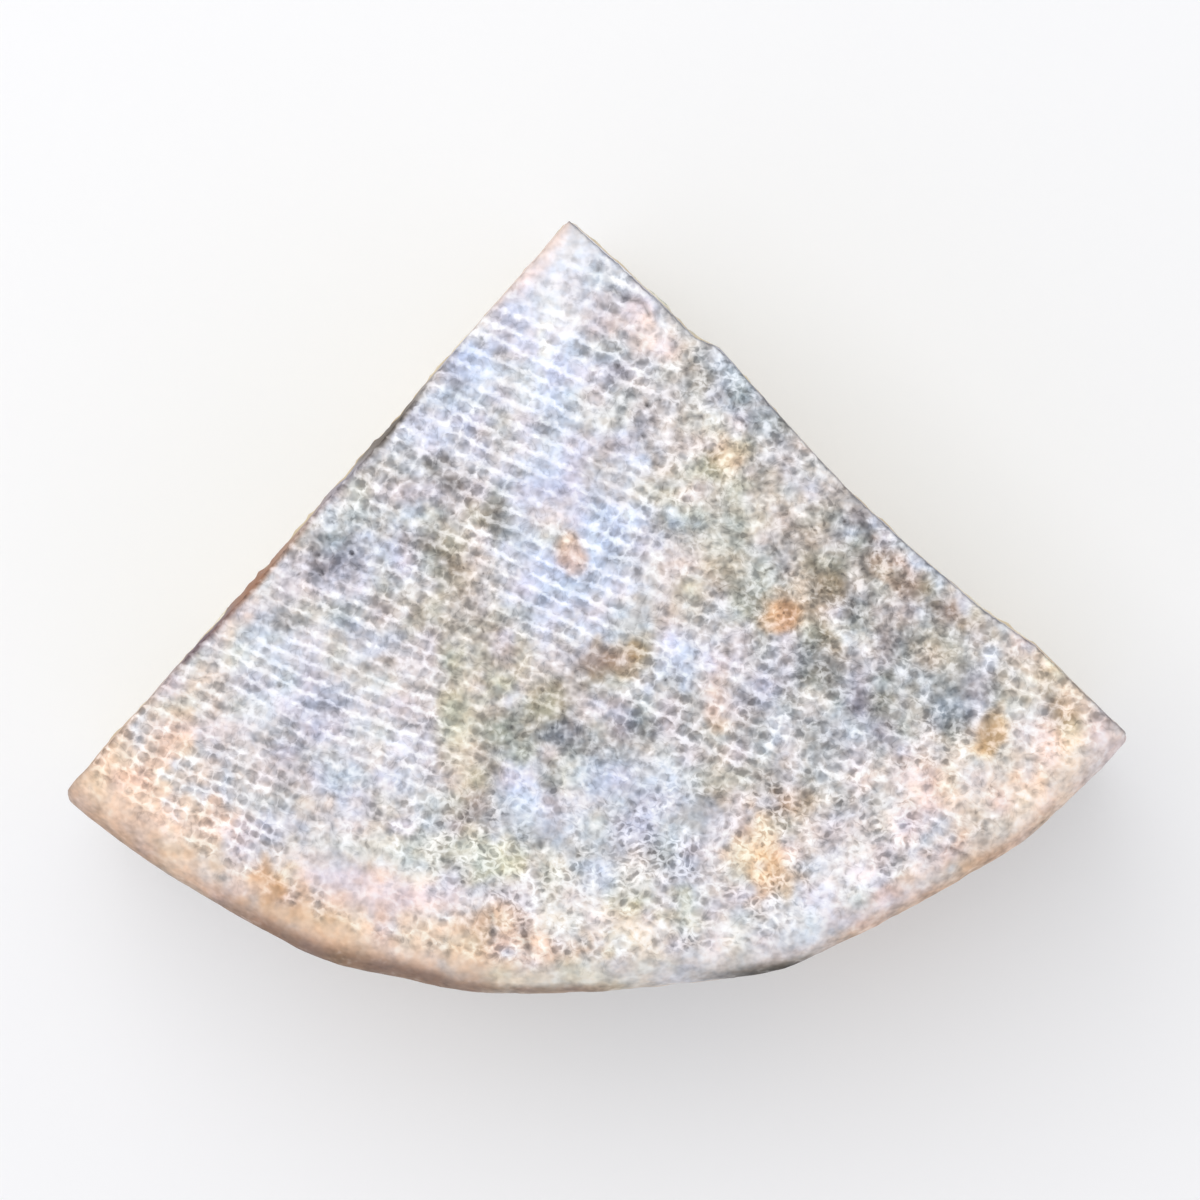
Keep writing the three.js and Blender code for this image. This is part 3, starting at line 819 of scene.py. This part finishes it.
def skin_and_shade_colour(skin_and_shade, along, z):
    """The colour of the skin along a cut's edges, with painted shade in its dark stretches."""
    colour = plain(EDGE_COLOUR, len(z))
    for middle, half_width, stain_and_shade in skin_and_shade:
        colour = paint(colour, hump(along - middle, half_width) * smoothstep(z, 40, 75), stain_and_shade)
    return colour


def left_edge_skin_and_shade(along):
    """The colour painted along the left cut's top edge, partly the skin's and partly painted shade, and how
    strongly it is painted.
    """
    shares = np.array([hump(along - middle, half_width) for middle, half_width, _ in LEFT_EDGE_SKIN_AND_SHADE])
    colours = np.array([colour for *_, colour in LEFT_EDGE_SKIN_AND_SHADE], float)
    total = shares.sum(axis=0)
    return shares.T @ colours / np.maximum(total, 1e-6)[:, None], np.clip(total, 0, 1)


def dress(ideal, places, triangles, sheet_of):
    """Adds the relief and returns the points with what the materials read from them."""
    along, around, z = ideal.T
    plan = places[:, :2]
    on = np.zeros((5, len(places)), bool)
    for sheet in range(5):
        on[sheet, triangles[sheet_of == sheet]] = True
    on_cut = on[LEFT] | on[RIGHT]
    from_left = along * np.sin(around * WEDGE_TURN)
    from_right = along * np.sin((1 - around) * WEDGE_TURN)
    from_wall = reach_to_rind(heading_at(around)) - along
    under_rind = np.minimum(np.minimum(THICKNESS - z, z), from_wall)

    # the zones of the rind, and the net's print in them
    ragged = layered(plan, BLOTCH_EDGES)
    zones = (ROW_ZONES, LOOSE_ZONES, SPECKLED_ZONES, SMOOTH_ZONES)
    rows, loose, speckled, smooth = (zone(plan, ragged, ellipses) for ellipses in zones)
    smooth = np.maximum(smooth, (0.8 - 0.5 * around) * smoothstep(from_wall, 7, 1.5))
    calm = 1 - 0.65 * smooth
    net, strength = net_print(ideal, places, rows, loose, speckled, smooth)
    column_weight = 0.14 + 0.7 * np.maximum(loose, 0.6 * (1 - rows))

    # heights of the rind and of the cut paste over the solid's faces
    pits, cracks = (relief * on[FACE] for relief in pits_and_cracks(plan))
    rind = PRINT_DEPTH * strength * (ridge(net, column_weight) - PRINT_MIDDLE)
    rind += calm * layered(places, RIND_GRIT) + layered(places, RIND_LUMPS)
    rind -= PINHOLE_DEPTH * pits + cracks
    opening = np.maximum(cavities(along, z, 0) * on[LEFT], cavities(along, z, 1) * on[RIGHT])
    inside = smoothstep(np.minimum(under_rind, along), 0, 4)
    cut = inside * (layered(places, PASTE_GRAIN) - CAVITY_DEPTH * opening)
    only_cut = on_cut & ~(on[FACE] | on[WALL] | on[UNDER])
    height = np.where(only_cut, cut, np.where(on_cut, 0.5 * rind, rind))
    height *= smoothstep(places[:, 2], 0.2, 4) * ~on[UNDER]
    placed = places + vertex_normals(places, triangles) * height[:, None]

    # the edges are worn round
    from_edge = np.minimum(np.minimum(THICKNESS - z, from_wall), along)
    edge = hump(np.where(on_cut, from_edge, np.minimum(from_left, from_right)), EDGE_WEAR_WIDTH)
    edge = 0.5 * np.clip(edge, 0, 1) * smoothstep(placed[:, 2], 1, 4)
    placed = soften(placed, triangles, edge, EDGE_WEAR_ROUNDS)
    placed[:, 2] = np.maximum(placed[:, 2], 0)

    # the stains and painted shade: on the face, with painted shade along its left edge; on the wall, with a
    # painted shadow under the rim; and on the skin at the cuts' edges, partly painted shade
    flow = np.column_stack([plan @ heading_vector(STREAK_HEADING) / STREAK_LENGTH,
                            plan @ heading_vector(STREAK_HEADING + 90)])
    lumps = (layered(placed, STAIN_LUMPS) + loose * layered(flow, STREAKS)) * (0.4 + 0.6 * calm)
    stain_and_shade = stain_and_shade_at(plan, ragged) * (1 + lumps[:, None]) + layered(placed, TINTS) * calm[:, None]
    drifted = along + layered(placed, EDGE_DRIFT)
    # painted shade along the face's left edge, where its rim rolls over, mixed with the skin's colour
    left_edge_tint, left_edge_share = left_edge_skin_and_shade(drifted)
    stain_and_shade = paint(stain_and_shade, left_edge_share * smoothstep(from_left, 1.7, 0.1) * on[FACE], left_edge_tint)
    heading = wheel_heading(plan)
    # painted shadow: by the notch the face's shoulder takes the wall's colour with its painted shadow
    near_shadow_notch = hump(heading - NOTCH_HEADING, 5) * smoothstep(z, 89, 86)
    below = on[WALL] * smoothstep(z + 5 * noise(placed, 9, 19), 84, 70)
    stain_and_shade = paint(stain_and_shade, np.maximum(below, near_shadow_notch), wall_stain_and_shadow(placed, heading))
    contrast = 0.95 - 0.25 * smoothstep(stain_and_shade @ LIGHTNESS, 185, 240)
    contrast *= (1 - 0.62 * smooth) * (1 - 0.1 * rows)
    # the cuts' upper skin: its own colour, and painted shade in its dark stretches
    for sheet, edge_skin_and_shade in ((LEFT, LEFT_EDGE_SKIN_AND_SHADE), (RIGHT, RIGHT_EDGE_SKIN_AND_SHADE)):
        mine = on[sheet] & ~on[FACE] & ~on[WALL]
        stain_and_shade[mine] = skin_and_shade_colour(edge_skin_and_shade, drifted, z)[mine]

    # painted shade: a thin dark line along the face's right edge and a fainter one along its left, where
    # the rounded edge turns from the light
    painted_edge_shade = on[FACE] * (0.75 * hump(from_right, 0.45) + 0.2 * hump(from_left, 0.3))
    # painted shade: the pinholes and cracks are darkened as recesses where shade falls
    painted_shade = np.clip(0.9 * pits + 0.8 * cracks, 0, 1)
    # where the edge has crumbled, the skin's colour and its painted shade reach further down the cut
    crumbled = EDGE_LOSS_SKIN * on[LEFT] * left_edge_loss(along) * smoothstep(z, 70, 84)
    return placed, {
        "net": np.column_stack([net, strength]),
        "stain_and_shade": np.clip(stain_and_shade, 0, 255),
        "traits": np.column_stack([column_weight, loose * (1 - rows), speckled]),
        "marks_and_shade": np.column_stack([contrast, np.clip(painted_shade + painted_edge_shade, 0, 1), smooth]),
        "cut": np.column_stack([under_rind - crumbled, opening, np.zeros_like(opening)]),
    }


# ---- the materials
class Graph:
    """A material's nodes. Each method adds some and returns their output."""

    def __init__(self, name):
        self.material = bpy.data.materials.new(name)
        self.material.use_nodes = True
        self.tree = self.material.node_tree
        self.tree.nodes.clear()

    def put(self, kind, inputs, **settings):
        node = self.tree.nodes.new(kind)
        for key, value in settings.items():
            setattr(node, key, value)
        for socket, value in inputs.items():
            if isinstance(value, bpy.types.NodeSocket):
                self.tree.links.new(value, node.inputs[socket])
            else:
                node.inputs[socket].default_value = value
        return node

    def math(self, operation, first, second=0.0, third=0.0):
        return self.put("ShaderNodeMath", {0: first, 1: second, 2: third}, operation=operation).outputs[0]

    def times(self, *factors):
        return functools.reduce(functools.partial(self.math, "MULTIPLY"), factors)

    def off(self, value, middle=0.5):
        return self.math("ABSOLUTE", self.math("SUBTRACT", value, middle))

    def sway(self, total, value, amount, middle=0.5):
        """The total, moved by how far a value is from its middle, times an amount."""
        return self.math("MULTIPLY_ADD", self.math("SUBTRACT", value, middle), amount, total)

    def ramp(self, value, low, high, start=0.0, end=1.0, kind="SMOOTHSTEP"):
        inputs = {"Value": value, "From Min": low, "From Max": high, "To Min": start, "To Max": end}
        return self.put("ShaderNodeMapRange", inputs, interpolation_type=kind).outputs[0]

    def mix(self, share, first, second, blend="MIX", **settings):
        inputs = {0: share, 6: first, 7: second}
        return self.put("ShaderNodeMix", inputs, data_type="RGBA", blend_type=blend, **settings).outputs[2]

    def split(self, vector):
        return self.put("ShaderNodeSeparateXYZ", {0: vector}).outputs

    def attribute(self, name):
        return self.put("ShaderNodeAttribute", {}, attribute_name=name).outputs

    def noise(self, spot, lump, detail=1.0, roughness=0.5, distortion=0.0):
        inputs = {"Vector": spot, "Scale": 1 / lump, "Detail": detail, "Roughness": roughness}
        return self.put("ShaderNodeTexNoise", {**inputs, "Distortion": distortion}).outputs

    def place(self):
        """The place on the object in mm."""
        spot = self.put("ShaderNodeTexCoord", {}).outputs["Object"]
        return self.put("ShaderNodeVectorMath", {0: spot, "Scale": 1 / MM}, operation="SCALE").outputs[0]

    def finish(self, colour, roughness, height, relief, specular=0.3):
        bump = self.put("ShaderNodeBump", {"Height": height, "Distance": relief * MM, "Strength": 1.0})
        inputs = {"Base Color": colour, "Roughness": roughness, "Normal": bump.outputs[0]}
        shader = self.put("ShaderNodeBsdfPrincipled", {**inputs, "Specular IOR Level": specular}).outputs[0]
        self.put("ShaderNodeOutputMaterial", {"Surface": shader})
        return self.material


def linear(colour):
    """A 0 to 255 screen colour as the linear one that the shaders work with."""
    share = np.asarray(colour, float) / 255
    return np.where(share <= 0.04045, share / 12.92, ((share + 0.055) / 1.055) ** 2.4)


def rgba(colour):
    return (*linear(colour), 1.0)


TONE_MIDDLE = 0.43
TONE_CONTRAST = 1.15
PIT_SHARE = (0.49, 0.49, 0.495, 1)  # the stain times this is the darkest tone
MOULD_ADDED = (0.33, 0.33, 0.335, 1)  # the stain plus this is the palest
WARM = (254, 251, 247)
COOL = (251, 253, 254)
# painted shade of holes, cracks and the face's side edges
HOLE_SHADE = (62, 58, 62)


def net_cells(g, column, row, column_weight, ringed):
    """The print's height, the distance from the cell's middle and the cell's own random number."""
    across = g.math("ABSOLUTE", g.math("MULTIPLY_ADD", g.math("FRACT", column), 2.0, -1.0))
    down = g.math("ABSOLUTE", g.math("MULTIPLY_ADD", g.math("FRACT", row), 2.0, -1.0))
    weighed = g.times(column_weight, g.math("POWER", across, RIDGE_POWER))
    summed = g.math("ADD", weighed, g.math("POWER", down, RIDGE_POWER))
    from_middle = g.math("POWER", summed, 1 / RIDGE_POWER)
    height = g.ramp(from_middle, RIDGE_START, RIDGE_END)
    ring = g.ramp(g.off(from_middle, RING_PLACE), RING_WIDTH, 0.1)
    height = g.sway(height, ring, g.times(ringed, 0.9), height)
    cell = g.put("ShaderNodeCombineXYZ", {0: g.math("FLOOR", column), 1: g.math("FLOOR", row)})
    dice = g.put("ShaderNodeTexWhiteNoise", {"Vector": cell.outputs[0]}, noise_dimensions="2D")
    return height, from_middle, g.split(dice.outputs["Color"])[0]


def rind_colour(g, spot, stain_and_shade):
    """The rind: pits and cells in the stain's darker tones, ringed by the pale mould of the print, with
    painted shade in its holes, cracks and along its side edges.
    """
    column, row, strength = g.split(g.attribute("net")["Vector"])
    column_weight, ringed, speckled = g.split(g.attribute("traits")["Vector"])
    contrast, painted_shade, smooth = g.split(g.attribute("marks_and_shade")["Vector"])
    wobble = g.split(g.noise(spot, 2.0)["Color"])
    crumble = g.split(g.noise(spot, 0.9, 1.0)["Color"])
    wander = g.math("MULTIPLY_ADD", ringed, 0.5, 0.5)
    column = g.sway(g.sway(column, wobble[0], wander), crumble[0], 0.55)
    row = g.sway(g.sway(row, wobble[1], wander), crumble[1], 0.4)
    height, from_middle, dice = net_cells(g, column, row, column_weight, ringed)

    # the tone: the net's print, fine and broad noise, each cell's own, curls of mould and specks
    patchy = g.ramp(g.noise(spot, 3.0, 2.0)[0], 0.35, 0.6, 0.4, 1.1)
    weight = g.times(strength, patchy, 0.6)
    tone = g.sway(0.49, height, weight, 0.3)
    tone = g.sway(tone, g.noise(spot, 1.7, 1.3, 0.6)[0], g.math("MULTIPLY_ADD", speckled, 0.5, 1.2))
    tone = g.sway(tone, g.noise(spot, 3.2, 2.0, 0.55)[0], 1.0)
    tone = g.sway(tone, dice, g.times(g.ramp(from_middle, 1.0, 0.0), weight, CELL_SPREAD), 0.55)
    curl = g.ramp(g.off(g.noise(spot, 2.6, 1.0, 0.5, 0.6)[0]), 0.03, 0.0, 0.0, 0.16)
    tone = g.math("SUBTRACT", tone, g.times(g.math("SUBTRACT", 1.0, smooth), curl))
    specks = g.ramp(g.noise(spot, 1.5, 1.0)[0], 0.36, 0.24)
    tone = g.math("SUBTRACT", tone, g.times(specks, speckled, 0.5))
    tone = g.sway(TONE_MIDDLE, tone, g.times(contrast, TONE_CONTRAST))

    warm = g.mix(1.0, stain_and_shade, rgba(WARM), "MULTIPLY")
    cool = g.mix(1.0, stain_and_shade, rgba(COOL), "MULTIPLY")
    middle = g.mix(g.ramp(wobble[2], 0.38, 0.62), warm, cool)
    dark = g.mix(1.0, middle, PIT_SHARE, "MULTIPLY")
    light = g.mix(1.0, stain_and_shade, MOULD_ADDED, "ADD", clamp_result=True)
    colour = g.mix(g.ramp(tone, 0.0, 0.5, kind="LINEAR"), dark, middle)
    colour = g.mix(g.ramp(tone, 0.5, 1.0, kind="LINEAR"), colour, light)
    # painted shade: holes, cracks and the side edges are darkened towards the hole shade
    return g.mix(g.times(painted_shade, 0.9), colour, rgba(HOLE_SHADE)), tone


def rind_material():
    g = Graph("rind")
    spot = g.place()
    colour, tone = rind_colour(g, spot, g.attribute("stain_and_shade")["Color"])
    grit = g.noise(spot, 0.5, 2.0)[0]
    height = g.math("MULTIPLY_ADD", grit, 0.5, tone)
    return g.finish(colour, g.ramp(grit, 0.2, 0.8, 0.75, 0.95), height, 0.12)


# The paste's colours as they look in soft light.
PASTE = (238, 228, 204)
PASTE_DEEP = (224, 210, 180)
PASTE_PALE = (246, 240, 224)
PASTE_UNDER_RIND = (206, 186, 150)
MOULD_BLUE = (92, 112, 120)
MOULD_PALE = (140, 156, 154)
MOULD_GREEN = (120, 138, 116)
MOULD_HALO = (188, 194, 178)


def vein(g, spot, lump, width, seed):
    """A branching line along the middle height of a noise."""
    moved = g.put("ShaderNodeVectorMath", {0: spot, 1: (seed, seed, seed)}, operation="ADD").outputs[0]
    return g.ramp(g.off(g.noise(moved, lump, 4.0, 0.5, 0.35)[0]), width, 0.2 * width)


def paste_material():
    """The cut paste: ivory, darker under the rind, with mould along veins and in its openings."""
    g = Graph("paste")
    spot = g.place()
    under_rind, opening, _ = g.split(g.attribute("cut")["Vector"])
    mottle = g.noise(spot, 7, 3.0, 0.6)[0]
    grain = g.noise(spot, 1.4, 3.0, 0.65)[0]
    paste = g.mix(g.ramp(mottle, 0.35, 0.65), rgba(PASTE), rgba(PASTE_DEEP))
    paste = g.mix(g.ramp(grain, 0.35, 0.7), paste, rgba(PASTE_PALE))

    patch = g.ramp(g.noise(spot, 17, 2.0)[0], 0.45, 0.6)
    breaks = g.ramp(g.noise(spot, 3.0, 3.0, 0.65)[0], 0.4, 0.6)
    veins = g.math("MAXIMUM", vein(g, spot, 26, 0.03, 40), vein(g, spot, 16, 0.022, 90))
    freckle = g.ramp(g.noise(spot, 2.0, 3.0, 0.6)[0], 0.57, 0.66)
    ragged = g.sway(opening, g.noise(spot, 1.3, 3.0, 0.65)[0], 1.3)
    mould = g.math("MAXIMUM", g.times(veins, patch, breaks, 0.6), g.times(freckle, patch, 0.5))
    mould = g.math("MAXIMUM", mould, g.ramp(ragged, 0.15, 0.9, 0.0, 0.95))
    blue = g.mix(g.ramp(grain, 0.35, 0.6), rgba(MOULD_BLUE), rgba(MOULD_PALE))
    blue = g.mix(g.ramp(g.noise(spot, 9, 2.0)[0], 0.4, 0.62), blue, rgba(MOULD_GREEN))
    halo = g.math("MAXIMUM", g.ramp(g.noise(spot, 5, 3.0)[0], 0.5, 0.72), g.ramp(opening, 0.0, 0.35))
    paste = g.mix(g.times(halo, patch, 0.45), paste, rgba(MOULD_HALO))
    colour = g.mix(mould, paste, blue)

    depth = g.sway(under_rind, mottle, 3.0)
    colour = g.mix(g.ramp(depth, 1.0, 6.0), rgba(PASTE_UNDER_RIND), colour)
    # next to the rind the paste takes the rind's colour, with its painted shade at the cuts' edges
    colour = g.mix(g.ramp(depth, 0.4, 1.8), g.attribute("stain_and_shade")["Color"], colour)
    height = g.math("MULTIPLY_ADD", opening, -0.5, grain)
    return g.finish(colour, g.ramp(grain, 0.2, 0.8, 0.5, 0.75), height, 0.25, 0.4)


# ---- the piece's own map, for bakes
MAP_SIDE = 330.0
MAP_PLACES = [(2, 2, 1.5), (2, 232, 0.6), (136, 232, 0.65), (234, 232, 0.65), (2, 292, 0.2)]  # mm, scale


def bake_map(ideal, plan, triangles, sheet_of):
    """Each triangle corner's place on the map, from 0 to 1."""
    along, around, z = ideal.T
    flat = plan - np.array(cad_box[0][:2]) / MM
    arc, side = np.column_stack([around * RIM_LENGTH, z]), np.column_stack([along, z])
    corners = np.zeros((len(triangles), 3, 2))
    for sheet, (spots, (x, y, scale)) in enumerate(zip((flat, arc, side, side, flat), MAP_PLACES)):
        mine = sheet_of == sheet
        corners[mine] = ((x, y) + scale * spots)[triangles[mine]] / MAP_SIDE
    return corners.reshape(-1, 2)


# ---- build
def add_object(name, data):
    made = bpy.data.objects.new(name, data)
    bpy.context.scene.collection.objects.link(made)
    return made


def fill(data, field, values):
    data.foreach_set(field, np.asarray(values, np.float32).ravel())


def build_cheese():
    ideal, solid, triangles, sheet_of = welded_sheets()
    places, read = dress(ideal, solid, triangles, sheet_of)
    mesh = bpy.data.meshes.new("blue_cheese")
    mesh.from_pydata(places * MM, [], triangles.tolist())
    mesh.polygons.foreach_set("use_smooth", np.ones(len(triangles), bool))
    mesh.polygons.foreach_set("material_index", np.isin(sheet_of, (LEFT, RIGHT)).astype(np.int32))
    for name in ("net", "traits", "marks_and_shade", "cut"):
        fill(mesh.attributes.new(name, "FLOAT_VECTOR", "POINT").data, "vector", read[name])
    stain_and_shade = np.column_stack([linear(read["stain_and_shade"]), np.ones(len(places))])
    fill(mesh.attributes.new("stain_and_shade", "FLOAT_COLOR", "POINT").data, "color", stain_and_shade)
    fill(mesh.uv_layers.new(name="OFBake").data, "uv", bake_map(ideal, solid[:, :2], triangles, sheet_of))
    mesh.materials.append(rind_material())
    mesh.materials.append(paste_material())
    mesh.update()
    cheese = add_object("blue_cheese", mesh)
    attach(cheese, "root")
    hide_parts(NODE)


# ---- the studio, in metres
FLOOR_REACH = 4.0
FLOOR_COLOUR = (243, 243, 244)
CAMERA_PLACE = Vector((0.67, 2.14, 990)) * MM
HALF_FIELD = math.atan(113.3 / 900)
LIGHT_PLACE = Vector((-0.35, 0.45, 1.3))
LIGHT_SIDE = 1.1
LIGHT_POWER = 7.0
SKY = (0.80, 0.805, 0.82, 1)


def build_floor():
    mesh = bpy.data.meshes.new("floor")
    corners = [(x * FLOOR_REACH, y * FLOOR_REACH, 0) for x, y in ((-1, -1), (1, -1), (1, 1), (-1, 1))]
    mesh.from_pydata(corners, [], [(0, 1, 2, 3)])
    g = Graph("floor")
    shader = g.put("ShaderNodeBsdfPrincipled", {"Base Color": rgba(FLOOR_COLOUR), "Roughness": 0.9})
    g.put("ShaderNodeOutputMaterial", {"Surface": shader.outputs[0]})
    mesh.materials.append(g.material)
    add_object("floor", mesh)


def build_studio():
    camera = add_object("camera", bpy.data.cameras.new("camera"))
    camera.location = CAMERA_PLACE
    camera.data.angle = 2 * HALF_FIELD
    light = bpy.data.lights.new("softbox", "AREA")
    light.size, light.energy = LIGHT_SIDE, LIGHT_POWER
    lamp = add_object("softbox", light)
    lamp.location = LIGHT_PLACE
    lamp.rotation_euler = (-LIGHT_PLACE).to_track_quat("-Z", "Y").to_euler()
    world = bpy.data.worlds.new("studio")
    world.use_nodes = True
    world.node_tree.nodes["Background"].inputs["Color"].default_value = SKY
    scene = bpy.context.scene
    scene.camera = camera
    scene.world = world
    scene.view_settings.view_transform = "Standard"


build_cheese()
build_floor()
build_studio()
